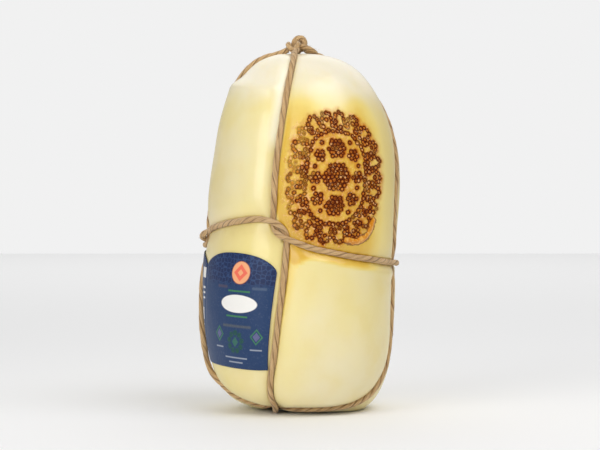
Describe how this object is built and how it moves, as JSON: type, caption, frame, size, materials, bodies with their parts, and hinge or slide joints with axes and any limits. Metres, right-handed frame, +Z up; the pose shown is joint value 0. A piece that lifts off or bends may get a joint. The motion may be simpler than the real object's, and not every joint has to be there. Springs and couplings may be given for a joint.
{
  "type": "caciocavallo",
  "caption": "Whole stretched-curd cheese with a waist, bound upright in twine knotted on top, with an arched paper label and a burnt dotted pattern.",
  "frame": {"origin": "at the height of the flat base, under the middle of the cheese", "axes": "+Z up towards the knot; -Y towards the side with the burnt pattern; the label is towards -X and -Y"},
  "size_m": [0.1265, 0.1229, 0.2348],
  "materials": {
    "cheese": "smooth waxy cheese skin with a soft sheen, pale straw yellow, with a burnt dotted pattern",
    "twine": "coarse twisted twine, tan with brown furrows",
    "label": "printed paper, dark navy blue, satin"
  },
  "bodies": {
    "root": {"cheese": "cheese", "twine_cradle": "twine", "twine_girdle": "twine", "twine_knot": "twine", "label": "label"}
  },
  "joints": []
}
